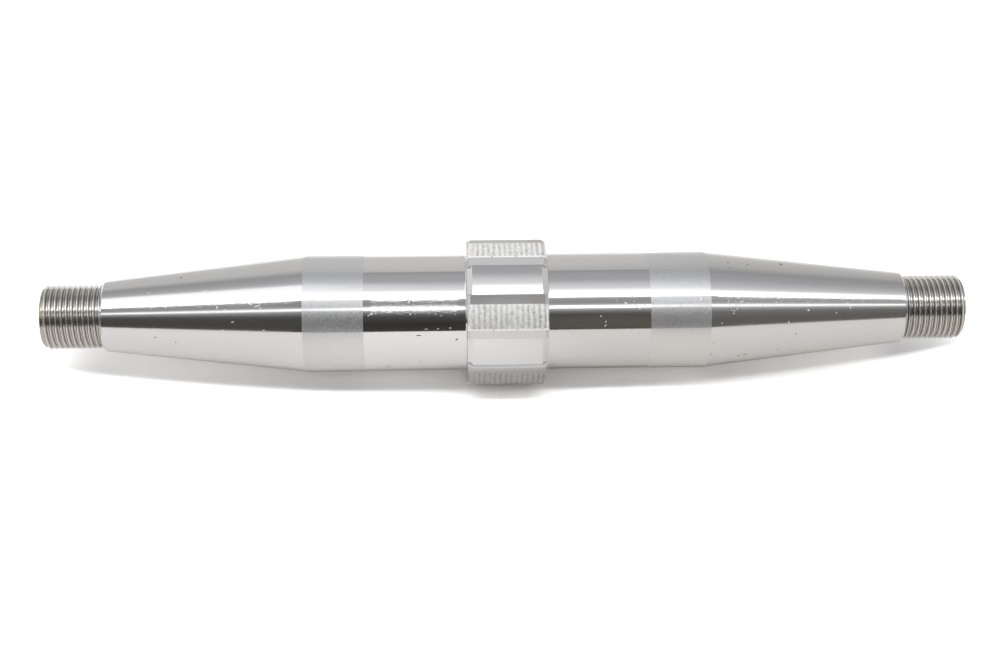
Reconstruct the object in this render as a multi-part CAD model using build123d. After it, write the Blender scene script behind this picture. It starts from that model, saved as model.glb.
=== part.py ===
# Steel shaft, turned from one bar between centres.
# A collar sits at mid-length, with a plain bearing journal, a taper and a threaded end on each side of it.
# Six flat pads stand on the collar's round face, one every 60 degrees, and the shaft rests on the lowest.
# X runs along the shaft, Z is up, and the origin is on the axis at the middle of the collar.
import os
from math import radians, sqrt, tan

from build123d import *

# Journals
journal_diameter = 46.0
journal_length = 63.0

# Collar
collar_length = 31.0
collar_step = 5.75            # how far its round face stands out from the journals
collar_chamfer_run = 2.0      # along the shaft
collar_chamfer_drop = 1.5     # towards the axis

# Pads on the collar
pad_count = 6
pad_rise = 0.65               # flat top over the round face, measured at the pad's middle
pad_width = 9.5
pad_steep_run = 3.7           # flank that slopes down onto the round face, measured across the pad
pad_shallow_run = 3.65        # flank on the other side, which stays proud of the round face
pad_shallow_drop = 1.05
pad_step_run = 0.3            # steep little step from the shallow flank down to the round face
pad_end_run = 1.5             # chamfer at the pad's ends, along the shaft
pad_end_drop = 1.1            # towards the axis, at the pad's long edges

# Tapers
taper_length = 80.0
taper_shoulder = 1.1          # ledge left round the thread at the small end
taper_end_chamfer = 1.0

# Threaded ends, drawn at the crest diameter of a one inch thread
thread_diameter = 25.4
thread_length = 23.5
thread_lead_in = 1.5

# Centre holes, drilled for turning the shaft between centres
centre_cone_angle = 60.0
centre_mouth_diameter = 8.5
centre_pilot_diameter = 4.0
centre_pilot_length = 5.0

# Places along the shaft and radii that follow from the sizes above
journal_radius = journal_diameter / 2
collar_radius = journal_radius + collar_step
thread_radius = thread_diameter / 2
taper_small_radius = thread_radius + taper_shoulder
taper_slope = (journal_radius - taper_small_radius) / taper_length

collar_face = collar_length / 2
taper_start = collar_face + journal_length
taper_end = taper_start + taper_length
shaft_end = taper_end + thread_length


def turned(points):
    """Solid of revolution about the shaft's axis, from an outline given as (along, radius) points."""
    outline = Polyline(*[(along, 0, radius) for along, radius in points], close=True)
    return revolve(make_face(outline), axis=Axis.X, revolution_arc=360)


def half_shaft():
    """Journal, taper and threaded end on the +X side, from the middle of the collar outwards."""
    chamfer_top = taper_small_radius + taper_slope * taper_end_chamfer
    return turned([
        (0, 0),
        (0, journal_radius),
        (taper_start, journal_radius),
        (taper_end - taper_end_chamfer, chamfer_top),
        (taper_end, chamfer_top - taper_end_chamfer),
        (taper_end, thread_radius),
        (shaft_end - thread_lead_in, thread_radius),
        (shaft_end, thread_radius - thread_lead_in),
        (shaft_end, 0),
    ])


def collar_blank(radius, face_radius, run):
    """Round blank as long as the collar, coned at each end down to a face radius over a run along the shaft."""
    full = collar_face - run
    return turned([
        (-collar_face, 0),
        (-collar_face, face_radius),
        (-full, radius),
        (full, radius),
        (collar_face, face_radius),
        (collar_face, 0),
    ])


def on_round_face(across):
    """Height of the collar's round face at a distance across from its top."""
    return sqrt(collar_radius**2 - across**2)


def pad():
    """One pad along the collar, standing on its +Z side, shallow flank towards +Y, its ends coned like a chamfer."""
    top = collar_radius + pad_rise
    half_top = pad_width / 2
    steep_foot = half_top + pad_steep_run
    shallow_end = half_top + pad_shallow_run
    step_foot = shallow_end + pad_step_run
    root = on_round_face(steep_foot) - 2 * collar_chamfer_drop
    section = Plane.YZ * make_face(Polyline(
        (-steep_foot, root),
        (-steep_foot, on_round_face(steep_foot)),
        (-half_top, top),
        (half_top, top),
        (shallow_end, top - pad_shallow_drop),
        (step_foot, on_round_face(step_foot)),
        (step_foot, root),
        close=True,
    ))
    corner_radius = sqrt(top**2 + half_top**2)
    clear_radius = corner_radius + pad_end_drop
    cone = collar_blank(clear_radius, corner_radius - pad_end_drop, 2 * pad_end_run)
    return extrude(section, amount=collar_face, both=True) & cone


def centre_hole():
    """Cutter for the centre hole in the +X end: a cone at the mouth and a pilot with a drill point."""
    mouth = centre_mouth_diameter / 2
    pilot = centre_pilot_diameter / 2
    cone_depth = (mouth - pilot) / tan(radians(centre_cone_angle / 2))
    pilot_end = shaft_end - cone_depth - centre_pilot_length
    return turned([
        (shaft_end, 0),
        (shaft_end, mouth),
        (shaft_end - cone_depth, pilot),
        (pilot_end, pilot),
        (pilot_end - pilot, 0),
    ])


def shaft():
    """The whole shaft as one solid."""
    machined_half = half_shaft() - centre_hole()
    body = machined_half + mirror(machined_half, Plane.YZ)
    body += collar_blank(collar_radius, collar_radius - collar_chamfer_drop, collar_chamfer_run)
    for step in range(pad_count):
        body += Rot(X=180 + 360 * step / pad_count) * pad()
    return body.clean()


os.makedirs("parts", exist_ok=True)
export_step(shaft(), "parts/shaft.step")
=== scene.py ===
import random
from math import atan, cos, hypot, pi, radians, sin, sqrt, tan

import bmesh
import bpy
from mathutils import Matrix, Vector


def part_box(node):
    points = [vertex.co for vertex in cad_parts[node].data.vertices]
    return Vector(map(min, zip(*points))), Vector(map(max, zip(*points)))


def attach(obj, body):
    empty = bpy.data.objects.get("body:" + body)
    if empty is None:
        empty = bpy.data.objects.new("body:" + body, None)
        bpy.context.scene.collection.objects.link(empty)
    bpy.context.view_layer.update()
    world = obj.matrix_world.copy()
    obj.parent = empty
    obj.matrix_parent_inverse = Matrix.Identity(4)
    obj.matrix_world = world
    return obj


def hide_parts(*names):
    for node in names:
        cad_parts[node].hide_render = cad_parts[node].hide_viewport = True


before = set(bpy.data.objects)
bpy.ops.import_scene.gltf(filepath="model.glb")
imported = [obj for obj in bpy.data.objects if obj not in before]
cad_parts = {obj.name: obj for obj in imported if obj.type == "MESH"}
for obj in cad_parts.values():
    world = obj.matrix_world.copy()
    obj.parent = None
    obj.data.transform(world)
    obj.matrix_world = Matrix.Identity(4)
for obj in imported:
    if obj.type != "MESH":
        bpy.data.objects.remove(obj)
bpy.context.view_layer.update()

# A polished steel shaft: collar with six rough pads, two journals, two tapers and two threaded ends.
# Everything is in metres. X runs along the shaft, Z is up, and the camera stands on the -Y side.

MM = 0.001
cad_low, cad_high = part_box("shaft")

# sizes of the shaft
SHAFT_END = cad_high[0]
FLOOR = cad_low[2]
JOURNAL_RADIUS = 23.0 * MM
COLLAR_FACE = 15.5 * MM
COLLAR_RADIUS = 28.75 * MM
COLLAR_CHAMFER_RUN = 2.0 * MM
COLLAR_CHAMFER_DROP = 1.5 * MM
COLLAR_FILLET = 0.9 * MM

PAD_COUNT = 6
PAD_TOP = -FLOOR
PAD_WIDTH = 9.5 * MM
PAD_STEEP_RUN = 3.7 * MM
PAD_SHALLOW_RUN = 3.65 * MM
PAD_SHALLOW_DROP = 1.05 * MM
PAD_STEP_RUN = 0.3 * MM
PAD_EDGE_ROUND = 0.15 * MM
PAD_END_RUN = 1.5 * MM
PAD_END_DROP = 1.1 * MM
PAD_CROWN = 0.25 * MM
PAD_BURR = 0.45 * MM        # burred edge along the steep flank, painted near white as a highlight
PAD_PROUD = 0.02 * MM       # keeps the pads' ends clear of the collar's own faces

TAPER_START = 78.5 * MM
TAPER_END = 158.5 * MM
TAPER_SMALL_RADIUS = 13.8 * MM
TAPER_END_CHAMFER = 1.0 * MM
TAPER_SLOPE = (JOURNAL_RADIUS - TAPER_SMALL_RADIUS) / (TAPER_END - TAPER_START)
MATT_BAND = (55.7 * MM, 79.2 * MM)

THREAD_RADIUS = 12.7 * MM
THREAD_PITCH = 25.4 / 12 * MM
THREAD_DEPTH = 0.6134 * THREAD_PITCH
THREAD_ROUNDING = 0.04 * THREAD_PITCH
THREAD_LEAD_IN = 1.5 * MM

CENTRE_MOUTH_RADIUS = 4.25 * MM
CENTRE_PILOT_RADIUS = 2.0 * MM
CENTRE_PILOT_LENGTH = 5.0 * MM
CENTRE_HALF_ANGLE = radians(30)

TURN_STEPS = 240
THREAD_STEPS = 120
FILLET_STEPS = 4
FILLET_SUNK = 0.005 * MM     # keeps the fillet's foot just inside the journal
SAME_PLACE = 0.001 * MM      # points closer than this are one point
ON_PLANE = 0.0001 * MM
SHARP_FOLD = radians(22)     # edges folded by more than this stay sharp

# Finishes, in the order of the shaft's material slots
POLISHED, MATT, PAD_FACE, STEEP_FLANK, SHALLOW_FLANK, THREADED, BRUISED, PITTED, ROUGH_STEP, BURR = range(10)


# turned and milled forms
def turn(bm, outline):
    """Turn an outline of (along, radius) points about the shaft's axis."""
    verts = [bm.verts.new((along, radius, 0)) for along, radius in outline]
    edges = [bm.edges.new(pair) for pair in zip(verts, verts[1:])]
    bmesh.ops.spin(bm, geom=verts + edges, cent=(0, 0, 0), axis=(1, 0, 0), dvec=(0, 0, 0),
                   angle=2 * pi, steps=TURN_STEPS, use_merge=True, use_duplicate=False)


def turned_body(bm):
    """Both journals and tapers, out to the ledges round the threads."""
    chamfer_top = TAPER_SMALL_RADIUS + TAPER_SLOPE * TAPER_END_CHAMFER
    half = [
        (MATT_BAND[0], JOURNAL_RADIUS),
        (TAPER_START, JOURNAL_RADIUS),
        (MATT_BAND[1], JOURNAL_RADIUS - TAPER_SLOPE * (MATT_BAND[1] - TAPER_START)),
        (TAPER_END - TAPER_END_CHAMFER, chamfer_top),
        (TAPER_END, chamfer_top - TAPER_END_CHAMFER),
        (TAPER_END, 0),
    ]
    turn(bm, [(-along, radius) for along, radius in reversed(half)] + half)


def turned_collar(bm):
    """Round collar with a chamfer at each end and a small fillet down to each journal."""
    full = COLLAR_FACE - COLLAR_CHAMFER_RUN
    low = COLLAR_RADIUS - COLLAR_CHAMFER_DROP
    half = [(full, COLLAR_RADIUS), (COLLAR_FACE, low)]
    for share in range(FILLET_STEPS + 1):
        turned = share / FILLET_STEPS * pi / 2
        half.append((COLLAR_FACE + COLLAR_FILLET * (1 - cos(turned)),
                     JOURNAL_RADIUS + COLLAR_FILLET * (1 - sin(turned)) - FILLET_SUNK))
    half.append((COLLAR_FACE + COLLAR_FILLET, 0))
    turn(bm, [(-along, radius) for along, radius in reversed(half)] + half)


def on_round_face(across):
    """Height of the collar's round face at a distance across from its top."""
    return sqrt(COLLAR_RADIUS**2 - across**2)


def pad(bm, angle):
    """One pad along the collar, turned by an angle from straight down."""
    half_top = PAD_WIDTH / 2
    steep_foot = half_top + PAD_STEEP_RUN
    shallow_end = half_top + PAD_SHALLOW_RUN
    step_foot = shallow_end + PAD_STEP_RUN
    root = on_round_face(steep_foot) - 2 * COLLAR_CHAMFER_DROP
    low = PAD_TOP - PAD_CROWN
    half_way = PAD_TOP - PAD_CROWN / 4
    foot = on_round_face(steep_foot)
    burr_low = low - (low - foot) * PAD_BURR / PAD_STEEP_RUN
    # Points across and out from the axis, each with the finish of the face that follows it
    section = [
        (-steep_foot, root, STEEP_FLANK),
        (-steep_foot, foot, STEEP_FLANK),
        (-half_top - PAD_BURR, burr_low, BURR),
        (-half_top, low, PAD_FACE),
        (-half_top / 2, half_way, PAD_FACE),
        (0, PAD_TOP, PAD_FACE),
        (half_top / 2, half_way, PAD_FACE),
        (half_top, low, SHALLOW_FLANK),
        (shallow_end, PAD_TOP - PAD_SHALLOW_DROP, ROUGH_STEP),
        (step_foot, on_round_face(step_foot), ROUGH_STEP),
        (step_foot, root, ROUGH_STEP),
    ]
    block = bmesh.new()
    end = COLLAR_FACE + PAD_PROUD
    near = [block.verts.new((-end, -across, -out)) for across, out, finish in section]
    far = [block.verts.new((end, -across, -out)) for across, out, finish in section]
    block.faces.new(near)
    block.faces.new(reversed(far))
    top_edges = {}
    for i, (across, out, finish) in enumerate(section):
        j = (i + 1) % len(section)
        side = block.faces.new((near[i], far[i], far[j], near[j]))
        side.material_index = finish
        if out == low:
            top_edges[block.edges.get((near[i], far[i]))] = BURR if across < 0 else PAD_FACE
    for edge, finish in top_edges.items():
        bmesh.ops.bevel(block, geom=[edge], offset=PAD_EDGE_ROUND, offset_type="OFFSET", segments=2,
                        profile=0.5, affect="EDGES", material=finish, clamp_overlap=True)
    trim_ends(block)
    bmesh.ops.rotate(block, verts=block.verts, cent=(0, 0, 0), matrix=Matrix.Rotation(angle, 3, "X"))
    add_to(bm, block)


def trim_ends(block):
    """Draw a pad's ends in to the cone of its end chamfer."""
    slope = PAD_END_DROP / PAD_END_RUN
    face_radius = hypot(PAD_TOP, PAD_WIDTH / 2) - PAD_END_DROP
    reach = {round((hypot(v.co.y, v.co.z) - face_radius) / slope, 6) for v in block.verts}
    for inwards in sorted(r for r in reach if r > 0):
        for side in (-1, 1):
            geom = block.verts[:] + block.edges[:] + block.faces[:]
            bmesh.ops.bisect_plane(block, geom=geom, dist=ON_PLANE, clear_outer=False, clear_inner=False,
                                   plane_co=(side * (COLLAR_FACE - inwards), 0, 0), plane_no=(1, 0, 0))
    for v in block.verts:
        limit = face_radius + slope * max(COLLAR_FACE - abs(v.co.x), 0)
        radius = hypot(v.co.y, v.co.z)
        if radius > limit:
            v.co.yz = v.co.yz * (limit / radius)


def add_to(bm, part):
    """Put a finished part, with its faces turned outwards, into the shaft's mesh."""
    bmesh.ops.recalc_face_normals(part, faces=part.faces)
    mesh = bpy.data.meshes.new("part")
    part.to_mesh(mesh)
    part.free()
    bm.from_mesh(mesh)
    bpy.data.meshes.remove(mesh)


def threaded_end(bm, side):
    """Right-hand thread with a lead-in chamfer and a centre hole; side is -1 or 1 along X."""
    crest, root = THREAD_RADIUS, THREAD_RADIUS - THREAD_DEPTH
    pitch = THREAD_PITCH
    # One turn's profile, from root to crest and back: share of the pitch, and radius
    rise = [(0.5, root), (0.40, root + THREAD_ROUNDING / 5), (0.33, root + THREAD_ROUNDING),
            (0.09, crest - THREAD_ROUNDING), (0.05, crest)]
    turn_profile = [(-share, radius) for share, radius in rise] + rise[::-1]
    inner = TAPER_END - pitch
    turns = round((SHAFT_END - inner) / pitch) + 2
    thread = bmesh.new()
    verts = [thread.verts.new((inner - pitch + share * pitch, radius, 0)) for share, radius in turn_profile]
    edges = [thread.edges.new(pair) for pair in zip(verts, verts[1:])]
    bmesh.ops.spin(thread, geom=verts + edges, cent=(0, 0, 0), axis=(1, 0, 0), angle=2 * pi,
                   dvec=(pitch / THREAD_STEPS, 0, 0), steps=THREAD_STEPS, use_merge=False,
                   use_duplicate=False)
    one_turn = thread.verts[:] + thread.edges[:] + thread.faces[:]
    for count in range(1, turns):
        copied = bmesh.ops.duplicate(thread, geom=one_turn)["geom"]
        moved = [g for g in copied if isinstance(g, bmesh.types.BMVert)]
        bmesh.ops.translate(thread, verts=moved, vec=(count * pitch, 0, 0))
    bmesh.ops.remove_doubles(thread, verts=thread.verts, dist=SAME_PLACE)
    for v in thread.verts:
        lead_in = crest - THREAD_LEAD_IN + (SHAFT_END - v.co.x)
        radius = hypot(v.co.y, v.co.z)
        if radius > lead_in > 0:
            v.co.yz = v.co.yz * (lead_in / radius)
    for place, normal in ((SHAFT_END, 1), (inner, -1)):
        geom = thread.verts[:] + thread.edges[:] + thread.faces[:]
        bmesh.ops.bisect_plane(thread, geom=geom, dist=ON_PLANE, clear_outer=True, clear_inner=False,
                               plane_co=(place, 0, 0), plane_no=(normal, 0, 0))
    rim = [e for e in thread.edges if e.is_boundary]
    centre_hole(thread, [e for e in rim if e.verts[0].co.x > TAPER_END])
    bmesh.ops.holes_fill(thread, edges=[e for e in rim if e.verts[0].co.x < TAPER_END], sides=0)
    if side < 0:
        bmesh.ops.rotate(thread, verts=thread.verts, cent=(0, 0, 0), matrix=Matrix.Rotation(pi, 3, "Z"))
    for face in thread.faces:
        face.material_index = THREADED
    add_to(bm, thread)


def centre_hole(bm, rim):
    """Close an end face inwards from its rim, with a 60 degree centre hole in its middle."""
    cone = (CENTRE_MOUTH_RADIUS - CENTRE_PILOT_RADIUS) / tan(CENTRE_HALF_ANGLE)
    bottom = SHAFT_END - cone - CENTRE_PILOT_LENGTH
    rings = [(SHAFT_END, CENTRE_MOUTH_RADIUS), (SHAFT_END - cone, CENTRE_PILOT_RADIUS),
             (bottom, CENTRE_PILOT_RADIUS), (bottom - CENTRE_PILOT_RADIUS, 0)]
    for along, radius in rings:
        made = bmesh.ops.extrude_edge_only(bm, edges=rim)["geom"]
        rim = [g for g in made if isinstance(g, bmesh.types.BMEdge)]
        for v in {v for e in rim for v in e.verts}:
            v.co.yz = v.co.yz.normalized() * radius
            v.co.x = along
    bmesh.ops.remove_doubles(bm, verts=list({v for e in rim for v in e.verts}), dist=SAME_PLACE)


# Nicks and scratches on the journals and tapers: along the shaft in mm, height angle in degrees,
# length and width in mm, slant in degrees, and finish
MARKS = [
    (-139, 68, 0.9, 0.4, 0, BRUISED), (-127, 92, 1.2, 0.6, -15, PITTED),
    (-117.3, 64, 2.4, 0.35, 30, BRUISED), (-132, 45, 0.9, 0.5, 50, BRUISED),
    (-112, 43, 0.5, 1.2, 0, BRUISED), (-109, 39.5, 0.9, 0.6, 20, BRUISED),
    (-99, 45, 1.6, 0.3, -20, BRUISED), (-96.4, 43, 2.6, 0.4, 12, BRUISED), (-95, 46, 1.6, 0.4, 50, BRUISED),
    (-95.2, 41, 0.7, 0.4, 0, BRUISED), (-106, 26, 1.4, 0.3, 20, BRUISED),
    (-110, 16.6, 0.8, 0.4, 0, BRUISED), (-94, 17.5, 0.7, 0.4, 0, BRUISED),
    (-136.5, 2.6, 1.6, 0.3, 5, PITTED), (-128.8, -3, 0.9, 0.35, 40, PITTED),
    (-45.8, 34.5, 0.5, 0.6, 0, BRUISED), (-35.6, 45.4, 2.2, 0.5, 15, BRUISED),
    (-36, 44, 1.8, 0.3, 8, PITTED), (-38.9, 35.4, 3.4, 0.25, 4, PITTED),
    (-34.3, 11.6, 2.0, 0.45, 0, PITTED), (-19.7, 6.7, 1.5, 0.5, 50, PITTED),
    (-46.7, -30.6, 1.6, 0.5, 5, PITTED), (-33.7, -22.8, 0.6, 0.4, 0, PITTED),
    (-22.1, 18.8, 0.8, 0.4, 0, BRUISED), (-26.9, 18.2, 0.9, 0.3, 30, BRUISED),
    (-31.4, 18, 1.4, 0.25, 5, BRUISED), (36.1, 28.6, 0.6, 0.4, -30, BRUISED),
    (38, 23.3, 0.8, 0.35, 20, BRUISED), (37.9, 19.5, 1.3, 0.3, 55, BRUISED),
    (45.8, 41, 1.5, 0.5, -30, BRUISED), (51.2, 35.5, 0.5, 0.9, 0, BRUISED),
    (75.1, 44, 0.5, 1.4, 0, BRUISED), (78.2, 36, 0.2, 3.2, 0, BRUISED), (77.1, 58, 0.9, 0.3, -40, BRUISED),
    (79.9, -16, 0.6, 0.5, 0, PITTED), (87.3, 91, 1.2, 0.5, -10, PITTED), (87.8, 82, 1.0, 0.3, 0, PITTED),
    (95.2, 90, 0.9, 0.5, 40, PITTED), (109, 98, 1.5, 1.1, 0, PITTED), (91.1, 41.6, 2.2, 0.3, 15, BRUISED),
    (99.5, 37, 1.2, 0.5, 0, BRUISED), (105.8, 45.5, 1.2, 0.4, 10, BRUISED),
    (122.4, 49.5, 1.4, 0.6, -30, BRUISED), (124.5, 45.5, 0.5, 0.6, 0, BRUISED),
    (139.1, 47, 0.8, 0.4, 10, BRUISED), (117.8, 31.5, 0.9, 0.8, -30, BRUISED),
    (129.1, 27.5, 0.4, 0.5, 0, BRUISED), (134.7, 34, 0.4, 1.0, 20, BRUISED),
    (83.3, 20, 0.5, 0.4, 0, BRUISED), (110, 18.2, 0.5, 0.7, 0, BRUISED),
    (113.3, 2.4, 1.1, 0.35, 30, PITTED), (80.4, -1, 0.6, 0.3, 0, PITTED),
    (106.6, -20.7, 0.8, 0.3, 0, PITTED), (93.8, -23, 1.9, 0.4, 15, PITTED),
    (91.4, -24.5, 1.3, 0.35, -20, PITTED), (81.1, -23.4, 0.6, 0.4, 0, PITTED),
]
# Places with many small nicks together: along in mm, height angle in degrees, spread in mm, how many
CLUSTERS = [
    (-52.5, 33.9, 0.9, 9), (49, 46.2, 0.9, 7), (41.9, 46.4, 0.7, 4),
    (87.6, 38.5, 1.0, 8), (87.7, 31.6, 0.6, 3),
]
# Scuffed strips on the left journal and the tapers: from and to in mm, height angle in degrees, how many
SCUFFED = [
    (-53, -18, 45.5, 46), (-53, -18, 36.3, 34), (-46, -19, 32.5, 7),
    (-150, -82, 46, 30), (82, 150, 46, 26), (84, 140, 40.5, 16),
]
STRIP_SPREAD = 1.6           # degrees
NICK_LENGTH = (0.3, 0.9)     # mm
NICK_WIDTH = (0.2, 0.4)
SCUFF_WIDTH = (0.12, 0.3)
MARK_RISE = 0.03 * MM


def mark(bm, along, rise, length, width, slant, finish):
    """One nick or scratch, as a thin lens of bruised or pitted steel lying in the surface."""
    beyond = abs(along) - TAPER_START
    radius = JOURNAL_RADIUS - TAPER_SLOPE * max(beyond, 0)
    tilt = atan(TAPER_SLOPE) * (beyond > 0) * (1 if along > 0 else -1)
    lens = bmesh.new()
    bmesh.ops.create_icosphere(lens, subdivisions=2, radius=1.0)
    place = (Matrix.Rotation(radians(90 - rise), 4, "X") @ Matrix.Translation((along, 0, radius))
             @ Matrix.Rotation(tilt, 4, "Y") @ Matrix.Rotation(radians(slant), 4, "Z")
             @ Matrix.Diagonal((length / 2, width / 2, MARK_RISE, 1)))
    bmesh.ops.transform(lens, matrix=place, verts=lens.verts)
    for face in lens.faces:
        face.material_index = finish
    add_to(bm, lens)


def marks(bm):
    """Every nick, scratch and scuff, always the same ones."""
    for along, rise, length, width, slant, finish in MARKS:
        mark(bm, along * MM, rise, length * MM, width * MM, slant, finish)
    chance = random.Random(5)
    for along, rise, spread, count in CLUSTERS:
        for nick in range(count):
            near = along + chance.gauss(0, spread)
            mark(bm, near * MM, rise + chance.gauss(0, spread) * 2, chance.uniform(*NICK_LENGTH) * MM,
                 chance.uniform(*NICK_WIDTH) * MM, chance.uniform(-60, 60), BRUISED)
    for start, end, rise, count in SCUFFED:
        for nick in range(count):
            near = chance.uniform(start, end)
            mark(bm, near * MM, rise + chance.gauss(0, STRIP_SPREAD), chance.uniform(*NICK_LENGTH) * MM,
                 chance.uniform(*SCUFF_WIDTH) * MM, chance.gauss(0, 25), BRUISED)


def shaft_mesh():
    """The whole shaft: turned body, collar, pads and both threaded ends."""
    bm = bmesh.new()
    turned_body(bm)
    for face in bm.faces:
        if MATT_BAND[0] < abs(face.calc_center_median().x) < MATT_BAND[1]:
            face.material_index = MATT
    turned_collar(bm)
    bmesh.ops.remove_doubles(bm, verts=bm.verts, dist=ON_PLANE)
    bmesh.ops.recalc_face_normals(bm, faces=bm.faces)
    for step in range(PAD_COUNT):
        pad(bm, 2 * pi * step / PAD_COUNT)
    for side in (1, -1):
        threaded_end(bm, side)
    marks(bm)
    for face in bm.faces:
        face.smooth = True
    for edge in bm.edges:
        if len(edge.link_faces) == 2:
            edge.smooth = edge.calc_face_angle(0) < SHARP_FOLD
    mesh = bpy.data.meshes.new("turned_shaft")
    bm.to_mesh(mesh)
    bm.free()
    return mesh


# shader maths
class Val:
    """A shader socket that takes part in Python expressions."""

    def __init__(self, nodes, socket):
        self.nodes, self.socket = nodes, socket

    def math(self, operation, *others):
        return self.nodes.add("ShaderNodeMath", {"operation": operation}, dict(enumerate((self, *others))))

    def __add__(self, other): return self.math("ADD", other)
    def __sub__(self, other): return self.math("SUBTRACT", other)
    def __mul__(self, other): return self.math("MULTIPLY", other)
    def __truediv__(self, other): return self.math("DIVIDE", other)
    def __lt__(self, other): return self.math("LESS_THAN", other)

    def __rsub__(self, other):
        return self.nodes.add("ShaderNodeMath", {"operation": "SUBTRACT"}, {0: other, 1: self})


class Nodes:
    """Adds nodes to one tree."""

    def __init__(self, tree):
        self.tree = tree
        tree.nodes.clear()

    def add(self, kind, settings=None, inputs=None, output=0):
        node = self.tree.nodes.new(kind)
        for name, value in (settings or {}).items():
            if name == "stops":
                ramp = node.color_ramp
                while len(ramp.elements) < len(value):
                    ramp.elements.new(0.5)
                for element, (place, level) in zip(ramp.elements, value):
                    element.position = place
                    element.color = grey(level) if isinstance(level, float) else (*level, 1)
            else:
                setattr(node, name, value)
        for name, value in (inputs or {}).items():
            if isinstance(value, Val):
                self.tree.links.new(value.socket, node.inputs[name])
            else:
                node.inputs[name].default_value = value
        return Val(self, node.outputs[output]) if node.outputs else node

    def here(self):
        """Object coordinates."""
        return self.add("ShaderNodeTexCoord", output="Object")

    def parts(self, vector):
        """The three parts of a vector: of a place, along the shaft, across it and up."""
        first = self.add("ShaderNodeSeparateXYZ", {}, {0: vector})
        return [Val(self, out) for out in first.socket.node.outputs]

    def noise(self, vector, scale, detail=2.0, rough=0.5):
        return self.add("ShaderNodeTexNoise", {}, {"Vector": vector, "Scale": scale, "Detail": detail,
                                                   "Roughness": rough})

    def streaks(self, place, scales, detail=2.0, rough=0.5):
        """Noise with one scale along the shaft and another one across it."""
        along, across, up = place
        stretched = self.add("ShaderNodeCombineXYZ", {}, {0: along * scales[0], 1: across * scales[1],
                                                          2: up * scales[1]})
        return self.noise(stretched, 1.0, detail, rough)

    def step(self, value, low, high):
        """0 below low, 1 above high, smooth between; the other way round where low is above high."""
        rising = low < high
        ends = (low, high) if rising else (high, low)
        made = self.add("ShaderNodeMapRange", {"interpolation_type": "SMOOTHSTEP"},
                        {"Value": value, "From Min": ends[0], "From Max": ends[1]})
        return made if rising else 1 - made

    def window(self, value, start, full, full_end, end):
        """1 from full to full_end, falling smoothly to 0 at start and end."""
        return self.step(value, start, full) * self.step(value, end, full_end)

    def ramp(self, value, low, high):
        """0 at low, 1 at high, straight between."""
        return self.add("ShaderNodeMapRange", {}, {"Value": value, "From Min": low, "From Max": high})

    def mix(self, factor, first, second, blend="MIX"):
        """Two colours mixed; the colours are inputs 6 and 7 and output 2 of the node."""
        return self.add("ShaderNodeMix", {"data_type": "RGBA", "blend_type": blend},
                        {0: factor, 6: first, 7: second}, output=2)

    def bump(self, height, distance, strength=1.0, normal=None):
        inputs = {"Height": height, "Distance": distance, "Strength": strength}
        if normal is not None:
            inputs["Normal"] = normal
        return self.add("ShaderNodeBump", {}, inputs)


def grey(level):
    return (level, level, level, 1.0)


def steel(name, base, roughness, build):
    """A steel material; build returns the sockets that vary, from the node helper."""
    material = bpy.data.materials.new(name)
    material.use_nodes = True
    nodes = Nodes(material.node_tree)
    inputs = {"Base Color": base, "Roughness": roughness, "Metallic": 1.0}
    inputs.update(build(nodes))
    shader = nodes.add("ShaderNodeBsdfPrincipled", {}, inputs)
    nodes.add("ShaderNodeOutputMaterial", {}, {"Surface": shader})
    return material


# finishes
STEEL = (0.60, 0.60, 0.605, 1.0)
MATT_LIGHT = (0.585, 0.595, 0.61, 1.0)
# painted shade: colours of the matt band's lower side, lighter on the right
MATT_SHADE_LOW = (0.565, 0.56, 0.56, 1.0)
MATT_SHADE_LOW_RIGHT = (0.63, 0.625, 0.625, 1.0)
PAD_LIGHT = (0.92, 0.92, 0.92, 1.0)
PAD_DARK = (0.42, 0.415, 0.41, 1.0)
# painted shade: the pads' light and dark colours on the collar's underside
SHADED_PAD_LIGHT = (0.42, 0.415, 0.41, 1.0)
SHADED_PAD_DARK = (0.20, 0.20, 0.195, 1.0)
GROUND_GREY = (0.53, 0.525, 0.52, 1.0)
GROUND_BROWN = (0.52, 0.485, 0.47, 1.0)
# painted shade: the flanks' colour on the collar's underside
SHADED_FLANK = (0.28, 0.28, 0.275, 1.0)
THREAD_CREST = (0.64, 0.63, 0.615, 1.0)
THREAD_ROOT = (0.38, 0.365, 0.345, 1.0)
GREASE = (0.36, 0.35, 0.22, 1.0)
# painted shade: colour of the dark band along the shaft's underside on the camera's side
PAINTED_UNDERSIDE_SHADE = (0.24, 0.235, 0.23, 1.0)
BRUISE = (0.78, 0.77, 0.75, 1.0)
PIT = (0.10, 0.095, 0.09, 1.0)
# painted highlight: near-white colour of the burred pad edges
BURR_HIGHLIGHT = (0.97, 0.97, 0.97, 1.0)
GROOVE_PITCH = 2.1 * MM      # tool marks round the pads

# Noise scales per metre; of a pair, the first is along the shaft and the second across it
POLISHING_LINES = (2600, 25)
CHATTER_LINES = (500, 20)
GRINDING_LINES = (500, 60)
PAD_GRAIN = (900, 600)
PAD_BANDS = (120, 0)
BURR_BREAKS = (420, 0)
PAD_DRIFT = 110.0
GRIME_SPECKS = 900.0
TORN_SPECKS = 1500.0
STEP_SPECKS = 2000.0
BLASTED_SPECKS = 8000.0

# How deep each of them is
FINE_DEPTH = 0.01 * MM
SCUFF_DEPTH = 0.04 * MM
GRINDING_DEPTH = 0.02 * MM
CHATTER_DEPTH = 0.03 * MM
GRIME_DEPTH = 0.03 * MM
STEP_DEPTH = 0.05 * MM
PAD_DEPTH = 0.08 * MM
GRIME_EDGE = 0.5 * MM        # how far the dirt's edge wanders up and down the threads

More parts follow.
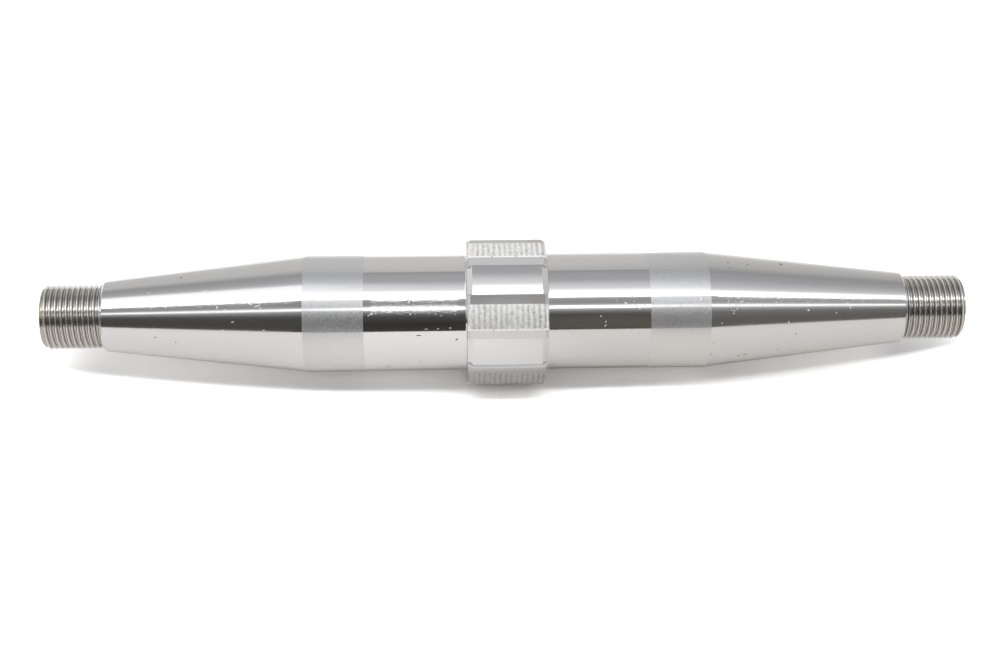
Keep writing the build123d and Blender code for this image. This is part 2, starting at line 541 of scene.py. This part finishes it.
# Four limits each: where it begins, is full, is full no more, and ends
SCUFFED_ALONG = (-53.5 * MM, -51.5 * MM, -20 * MM, -18 * MM)
SCUFFED_UP = (10 * MM, 12 * MM, 17 * MM, 18.5 * MM)
SCUFFED_TAPER = (0.66, 0.68, 0.74, 0.77)         # height as a share of the radius
# Painted shade: a band along the underside on the camera's side, where the steel would mirror the shadow
# under the shaft
UNDERSIDE_SHADE_BAND = (-0.91, -0.87, -0.75, -0.66)


def out_from_axis(across, up):
    return (up * up + across * across).math("SQRT")


def front_stripe(nodes, across, up, limits):
    """1 along a stripe on the camera's side; its limits are heights as shares of the radius."""
    return nodes.window(up / out_from_axis(across, up), *limits) * (across < 0.0)


def polished(nodes):
    """Fine circular polishing lines, scuffed on the left journal and in a stripe on both tapers; painted
    shade darkens a band along the underside on the camera's side.
    """
    here = nodes.here()
    along, across, up = place = nodes.parts(here)
    from_middle = along.math("ABSOLUTE")
    fine = nodes.bump(nodes.streaks(place, POLISHING_LINES, 3.0), FINE_DEPTH, 0.25)
    journal = nodes.window(along, *SCUFFED_ALONG) * nodes.window(up, *SCUFFED_UP)
    tapers = nodes.step(from_middle, 80 * MM, 83 * MM) * front_stripe(nodes, across, up, SCUFFED_TAPER)
    scuffed = journal * 0.9 + tapers * 0.45 + 0.1
    torn = nodes.noise(here, TORN_SPECKS, 3.0, 0.7) - 0.5
    return {"Normal": nodes.bump(torn * scuffed, SCUFF_DEPTH, normal=fine),
            "Base Color": nodes.mix(front_stripe(nodes, across, up, UNDERSIDE_SHADE_BAND), STEEL, PAINTED_UNDERSIDE_SHADE),
            "Roughness": nodes.step(from_middle, 70 * MM, 95 * MM) * 0.06 + 0.06}


def matt(nodes):
    """Lightly blasted band: pitted specks between specks that kept their polish; painted shade darkens its
    lower side.
    """
    here = nodes.here()
    along, across, up = nodes.parts(here)
    pitted = nodes.step(nodes.noise(here, BLASTED_SPECKS, 0.0), 0.42, 0.48)
    colour = nodes.mix(pitted, STEEL, MATT_LIGHT)
    # Painted shade: below a little above the axis the band is coloured darker, less so towards the right
    shaded_low_colour = nodes.mix(nodes.step(along, 0.0, 10 * MM), MATT_SHADE_LOW, MATT_SHADE_LOW_RIGHT)
    colour = nodes.mix(nodes.step(up, 7 * MM, 4 * MM), colour, shaded_low_colour)
    # painted shade: the same dark band along the underside on the camera's side
    colour = nodes.mix(front_stripe(nodes, across, up, UNDERSIDE_SHADE_BAND), colour, PAINTED_UNDERSIDE_SHADE)
    return {"Roughness": pitted * 0.37 + 0.08, "Base Color": colour,
            "Normal": nodes.bump(nodes.noise(here, TORN_SPECKS), FINE_DEPTH, 0.3)}


def painted_shade_below(nodes, up):
    """Painted shade: 0 on the upper side of the collar, 1 on its underside, which is coloured darker."""
    return nodes.step(up, -3 * MM, -12 * MM)


def pad_face(nodes):
    """Turned face left rough: grooves round it, stronger near the ends, with torn mottled steel between."""
    here = nodes.here()
    along, across, up = place = nodes.parts(here)
    drift = nodes.noise(here, PAD_DRIFT) - 0.5
    groove = (along * (2 * pi / GROOVE_PITCH) + drift * 3.0).math("SINE") * 0.5 + 0.5
    deep = nodes.step(nodes.streaks(place, PAD_BANDS, 1.0), 0.35, 0.65) * 0.6 + 0.4
    torn = nodes.streaks(place, PAD_GRAIN, 4.0, 0.7)
    dark = nodes.step(groove, 0.70, 0.05) * deep * 0.6 + nodes.step(torn, 0.54, 0.38) * 0.4
    colour = nodes.mix(dark, PAD_LIGHT, PAD_DARK)
    # painted shade: darker colours on the collar's underside
    colour = nodes.mix(painted_shade_below(nodes, up), colour, nodes.mix(dark, SHADED_PAD_LIGHT, SHADED_PAD_DARK))
    height = groove * deep + torn * 1.4
    return {"Base Color": colour, "Metallic": 0.45, "Normal": nodes.bump(height, PAD_DEPTH, 0.9)}


def steep_flank(nodes):
    """Milled flank with a few faint chatter lines."""
    chatter = nodes.streaks(nodes.parts(nodes.here()), CHATTER_LINES)
    return {"Normal": nodes.bump(chatter, CHATTER_DEPTH, 0.5)}


def shallow_flank(nodes):
    """Ground flank, duller and darker, brown towards the right end, with painted shade on the collar's
    underside.
    """
    along, across, up = place = nodes.parts(nodes.here())
    lines = nodes.streaks(place, GRINDING_LINES)
    colour = nodes.mix(nodes.step(along, 5 * MM, 14 * MM), GROUND_GREY, GROUND_BROWN)
    # painted shade: darker colour on the collar's underside
    colour = nodes.mix(painted_shade_below(nodes, up), colour, SHADED_FLANK)
    return {"Base Color": colour, "Normal": nodes.bump(lines, GRINDING_DEPTH, 0.5)}


def threaded(nodes):
    """Bright crests over roots full of brown dirt, and a smear of grease on the left end."""
    here = nodes.here()
    along, across, up = nodes.parts(here)
    grime = nodes.noise(here, GRIME_SPECKS, 3.0)
    ragged = out_from_axis(across, up) + (grime - 0.5) * GRIME_EDGE
    low = nodes.step(ragged, THREAD_RADIUS - 0.25 * THREAD_DEPTH, THREAD_RADIUS - 0.85 * THREAD_DEPTH)
    colour = nodes.mix(low, THREAD_CREST, THREAD_ROOT)
    smeared = nodes.step(along, -180.6 * MM, -181.2 * MM) * nodes.step(up, 5 * MM, 7 * MM)
    smeared = smeared * nodes.step(grime, 0.40, 0.50)
    colour = nodes.mix(smeared, colour, GREASE)
    return {"Base Color": colour, "Normal": nodes.bump(grime, GRIME_DEPTH)}


def nicked(nodes):
    """Torn steel, which mirrors little."""
    return {"Metallic": 0.3}


def burr(nodes):
    """Torn edge, broken here and there, painted near white as a highlight."""
    whole = nodes.step(nodes.streaks(nodes.parts(nodes.here()), BURR_BREAKS, 3.0), 0.66, 0.58)
    return {"Metallic": 0.1, "Base Color": nodes.mix(whole, PAD_DARK, BURR_HIGHLIGHT)}


def rough_step(nodes):
    """Step left by the milling cutter."""
    return {"Normal": nodes.bump(nodes.noise(nodes.here(), STEP_SPECKS, 3.0), STEP_DEPTH)}


# the shaft
shaft = bpy.data.objects.new("turned_shaft", shaft_mesh())
bpy.context.collection.objects.link(shaft)
for material in (steel("polished_steel", STEEL, 0.06, polished),
                 steel("matt_band_steel", STEEL, 0.27, matt),
                 steel("rough_pad_steel", PAD_LIGHT, 0.41, pad_face),
                 steel("steep_flank_steel", STEEL, 0.40, steep_flank),
                 steel("shallow_flank_steel", GROUND_GREY, 0.14, shallow_flank),
                 steel("thread_steel", STEEL, 0.2, threaded),
                 steel("bruised_steel", BRUISE, 0.45, nicked),
                 steel("pitted_steel", PIT, 0.5, nicked),
                 steel("rough_step_steel", STEEL, 0.7, rough_step),
                 steel("burr_highlight_steel", BURR_HIGHLIGHT, 0.4, burr)):
    shaft.data.materials.append(material)
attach(shaft, "root")
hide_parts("shaft")

# floor
FLOOR_FRONT = 0.68
FLOOR_BACK = 1.2
FLOOR_HALF_WIDTH = 1.5
FLOOR_COLOUR = 0.80
FLOOR_SEEN = 1.42
FLOOR_SHADED = 1.18           # painted shadow: the floor is coloured darker near the shaft's ends
FLOOR_SHADED_END = 0.88
# painted light that clears the shadow's outer part in front of the shaft
FLOOR_PAINTED_LIGHT = 2.1
# Where these begin, are full, are full no more and end, along the shaft
SHADED_LEFT = (-0.185, -0.165, -0.07, -0.04)
SHADED_RIGHT = (0.075, 0.09, 0.18, 0.20)
SHADED_END = (0.148, 0.166, 0.178, 0.20)
# The painted light lies in front of across = first + second * along + third * along squared
PAINTED_LIGHT_LINE = (-12.3 * MM, 0.0185, 0.688)
# Painted light: the floor as the steel mirrors it, brightest in the middle and dimmest towards the right
PAINTED_LIGHT_MIRRORED_LEFT = (1.11, 1.085, 1.06, 1.0)
PAINTED_LIGHT_MIRRORED_MIDDLE = (1.22, 1.2, 1.18, 1.0)
PAINTED_LIGHT_MIRRORED_RIGHT = (1.0, 0.965, 0.925, 1.0)


def white_floor():
    """Plain pale floor; the camera and the steel see it as white, and it keeps the shaft's shadow, with
    painted shadow, painted light and painted reflection added near the shaft.
    """
    material = bpy.data.materials.new("white_floor")
    material.use_nodes = True
    nodes = Nodes(material.node_tree)
    camera_ray = nodes.add("ShaderNodeLightPath", output="Is Camera Ray")
    glossy_ray = nodes.add("ShaderNodeLightPath", output="Is Glossy Ray")
    along, across, up = nodes.parts(nodes.here())
    # painted light: for glossy rays only, the floor brighter or dimmer along the shaft
    mirrored_painted_light = nodes.mix(nodes.step(along, -0.11, -0.06), PAINTED_LIGHT_MIRRORED_LEFT, PAINTED_LIGHT_MIRRORED_MIDDLE)
    mirrored_painted_light = nodes.mix(nodes.step(along, -0.02, 0.05), mirrored_painted_light, PAINTED_LIGHT_MIRRORED_RIGHT)
    colour = nodes.mix(glossy_ray, grey(FLOOR_COLOUR), mirrored_painted_light)
    # Painted shadow on the floor near both ends of the shaft, darkest beside the right thread
    shaded = nodes.window(along, *SHADED_LEFT) * nodes.step(across, -0.095, -0.05)
    shaded = shaded + nodes.window(along, *SHADED_RIGHT)
    seen = nodes.mix(shaded, grey(FLOOR_SEEN), grey(FLOOR_SHADED))
    last = nodes.window(along, *SHADED_END) * nodes.step(across, 0.045, 0.02)
    seen = nodes.mix(last, seen, grey(FLOOR_SHADED_END))
    # Painted light: in front of a line that draws in towards both ends, the floor's colour is brightened to
    # clear most of the shadow
    base, lean, curve = PAINTED_LIGHT_LINE
    before_line = across - base - along * lean - along * along * curve
    seen = nodes.mix(nodes.step(before_line, 1.0 * MM, -4.0 * MM), seen, grey(FLOOR_PAINTED_LIGHT))
    colour = nodes.mix(camera_ray, colour, seen)
    shader = nodes.add("ShaderNodeBsdfDiffuse", {}, {"Color": colour})
    nodes.add("ShaderNodeOutputMaterial", {}, {"Surface": shader})
    return material


bm = bmesh.new()
bmesh.ops.create_grid(bm, x_segments=1, y_segments=1, size=1.0)
for v in bm.verts:
    v.co = (v.co.x * FLOOR_HALF_WIDTH, FLOOR_BACK if v.co.y > 0 else -FLOOR_FRONT, FLOOR)
floor_mesh = bpy.data.meshes.new("floor")
bm.to_mesh(floor_mesh)
bm.free()
floor = bpy.data.objects.new("floor", floor_mesh)
bpy.context.collection.objects.link(floor)
floor.data.materials.append(white_floor())

# Studio light
# Light level by height angle, in degrees: 0 is the horizon on the camera's side, 90 is overhead and 180 is
# the back wall. The steel at the left end, at mid-length and at the right end sees three different sides of
# the room.
STRIP_LIGHT = 4.5
KEY_LIGHT = 8.0
SOFT_BOX = 1.9
ROOM_LEFT = [
    (-180, 0.80),
    (-60, 0.07),
    (22, 0.09),      # dark room behind the camera
    (29, 0.12),
    (34, 0.30),
    (38, 0.42),
    (40.5, 1.2),
    (41.5, 2.7),     # strip light
    (43, 2.7),
    (44, 0.9),
    (48, 0.40),      # gap between the lights
    (59, 0.38),
    (62, 0.7),
    (64, KEY_LIGHT),
    (66, KEY_LIGHT),
    (68, SOFT_BOX),  # soft box over the camera
    (93, 1.6),
    (96, 0.85),
    (104, 0.58),     # ceiling
    (120, 0.46),
    (128, 0.60),
    (134, 0.75),     # white backdrop
    (179.9, 0.78),
]
ROOM_MIDDLE = [
    (-180, 0.83),
    (-60, 0.05),
    (0, 0.06),
    (12, 0.045),     # dark room behind the camera
    (22, 0.08),
    (28, 0.10),
    (33, 0.24),
    (37, 0.50),
    (40, 1.2),
    (41, STRIP_LIGHT),
    (43.5, STRIP_LIGHT),
    (44.5, 0.9),
    (49, 0.42),      # gap between the lights
    (57, 0.44),
    (61, 0.80),
    (63.5, KEY_LIGHT),
    (67.5, KEY_LIGHT),
    (69, SOFT_BOX),  # soft box over the camera
    (75, SOFT_BOX),
    (79, 1.20),
    (90, 0.88),
    (98, 0.60),      # ceiling
    (112, 0.56),
    (121, 0.48),
    (124, 0.78),     # white backdrop
    (146, 0.85),
    (179.9, 0.83),
]
ROOM_RIGHT = [
    (-180, 0.76),
    (-60, 0.10),
    (0, 0.17),
    (14, 0.17),      # furnished room behind the camera
    (21, 0.20),
    (28, 0.23),
    (34, 0.38),
    (39, 0.70),
    (41, 2.3),       # strip light
    (43, 2.3),
    (44.5, 0.80),
    (49, 0.46),      # gap between the lights
    (56, 0.50),
    (62, 0.58),
    (64.5, KEY_LIGHT),
    (67, KEY_LIGHT),
    (68.5, SOFT_BOX),  # soft box over the camera
    (71.5, SOFT_BOX),
    (75, 1.00),
    (84, 0.76),
    (100, 0.55),     # ceiling
    (110, 0.50),
    (120, 0.45),
    (128, 0.50),
    (136, 0.61),     # grey backdrop
    (179.9, 0.76),
]
ROOM_LEFT_AT, ROOM_RIGHT_AT = -0.30, 0.38
TINTS = [
    (-180, (1.01, 1.0, 0.975)),
    (0, (1.04, 1.0, 0.94)),      # brownish room
    (30, (1.02, 1.0, 0.97)),
    (42, (1.0, 1.0, 1.0)),
    (78, (1.0, 1.0, 1.0)),
    (88, (0.995, 0.995, 1.012)),  # bluish ceiling
    (119, (0.995, 0.997, 1.01)),
    (126, (1.015, 1.0, 0.98)),   # warm backdrop
    (179.9, (1.01, 1.0, 0.975)),
]
WALL_LEFT, WALL_RIGHT = 1.05, 0.85
DOORWAY = (0.145, 0.135, 0.122, 1.0)
DOORWAY_SIDE = (0.03, 0.06, 0.14, 0.17)
DOORWAY_HEIGHT = (-10, 5, 19, 26)                # degrees


def studio_world():
    world = bpy.data.worlds.new("studio")
    bpy.context.scene.world = world
    world.use_nodes = True
    nodes = Nodes(world.node_tree)
    to_side, to_back, to_top = nodes.parts(nodes.add("ShaderNodeTexCoord", output="Generated"))
    # Height angle from the camera side's horizon, as a share of a full turn
    angle = to_top.math("ARCTAN2", 0 - to_back) / (2 * pi) + 0.5

    def share(degrees):
        return (degrees + 180) / 360

    def by_height(stops):
        return nodes.add("ShaderNodeValToRGB", {"stops": [(share(height), level) for height, level in stops]},
                         {"Fac": angle})

    levels = nodes.mix(nodes.ramp(to_side, 0.0, ROOM_LEFT_AT), by_height(ROOM_MIDDLE), by_height(ROOM_LEFT))
    levels = nodes.mix(nodes.ramp(to_side, 0.0, ROOM_RIGHT_AT), levels, by_height(ROOM_RIGHT))
    doorway = nodes.window(to_side, *DOORWAY_SIDE) * nodes.window(angle, *map(share, DOORWAY_HEIGHT))
    levels = nodes.mix(doorway, levels, DOORWAY)
    over_table = nodes.step(to_top, 0.0, 0.25)
    levels = nodes.mix(nodes.step(to_side, -0.55, -0.72) * over_table, levels, grey(WALL_LEFT))
    levels = nodes.mix(nodes.step(to_side, 0.55, 0.72) * over_table, levels, grey(WALL_RIGHT))
    levels = nodes.mix(1.0, levels, by_height(TINTS), "MULTIPLY")
    camera_ray = nodes.add("ShaderNodeLightPath", output="Is Camera Ray")
    colour = nodes.mix(camera_ray, levels, grey(1.0))
    background = nodes.add("ShaderNodeBackground", {}, {"Color": colour, "Strength": 1.0})
    nodes.add("ShaderNodeOutputWorld", {}, {"Surface": background})


studio_world()

# camera
PHOTO_WIDTH, PHOTO_HEIGHT = 1000, 667
FOCAL_PIXELS = 1784
CAMERA_DISTANCE = 0.711
CAMERA_DOWN = radians(34.7)
CAMERA_YAW = radians(2.38)
CAMERA_ROLL = radians(0.66)
COLLAR_PIXEL = (505.3, 311.7)


def photo_camera():
    camera_data = bpy.data.cameras.new("photo_camera")
    camera_data.sensor_width = 36
    camera_data.lens = 36 * FOCAL_PIXELS / PHOTO_WIDTH
    camera_data.clip_start = 0.01
    camera = bpy.data.objects.new("photo_camera", camera_data)
    bpy.context.collection.objects.link(camera)
    level = cos(CAMERA_DOWN)
    forward = Vector((level * sin(CAMERA_YAW), level * cos(CAMERA_YAW), -sin(CAMERA_DOWN)))
    right = Vector((cos(CAMERA_YAW), -sin(CAMERA_YAW), 0))
    up = right.cross(forward)
    right, up = (right * cos(CAMERA_ROLL) + up * sin(CAMERA_ROLL),
                 up * cos(CAMERA_ROLL) - right * sin(CAMERA_ROLL))
    metres_per_pixel = CAMERA_DISTANCE / FOCAL_PIXELS
    off_right = (COLLAR_PIXEL[0] - PHOTO_WIDTH / 2) * metres_per_pixel
    off_up = (PHOTO_HEIGHT / 2 - COLLAR_PIXEL[1]) * metres_per_pixel
    place = -forward * CAMERA_DISTANCE - right * off_right - up * off_up
    turned = Matrix((right, up, -forward)).transposed()
    camera.matrix_world = Matrix.Translation(place) @ turned.to_4x4()
    bpy.context.scene.camera = camera


photo_camera()
bpy.context.scene.view_settings.view_transform = "Standard"
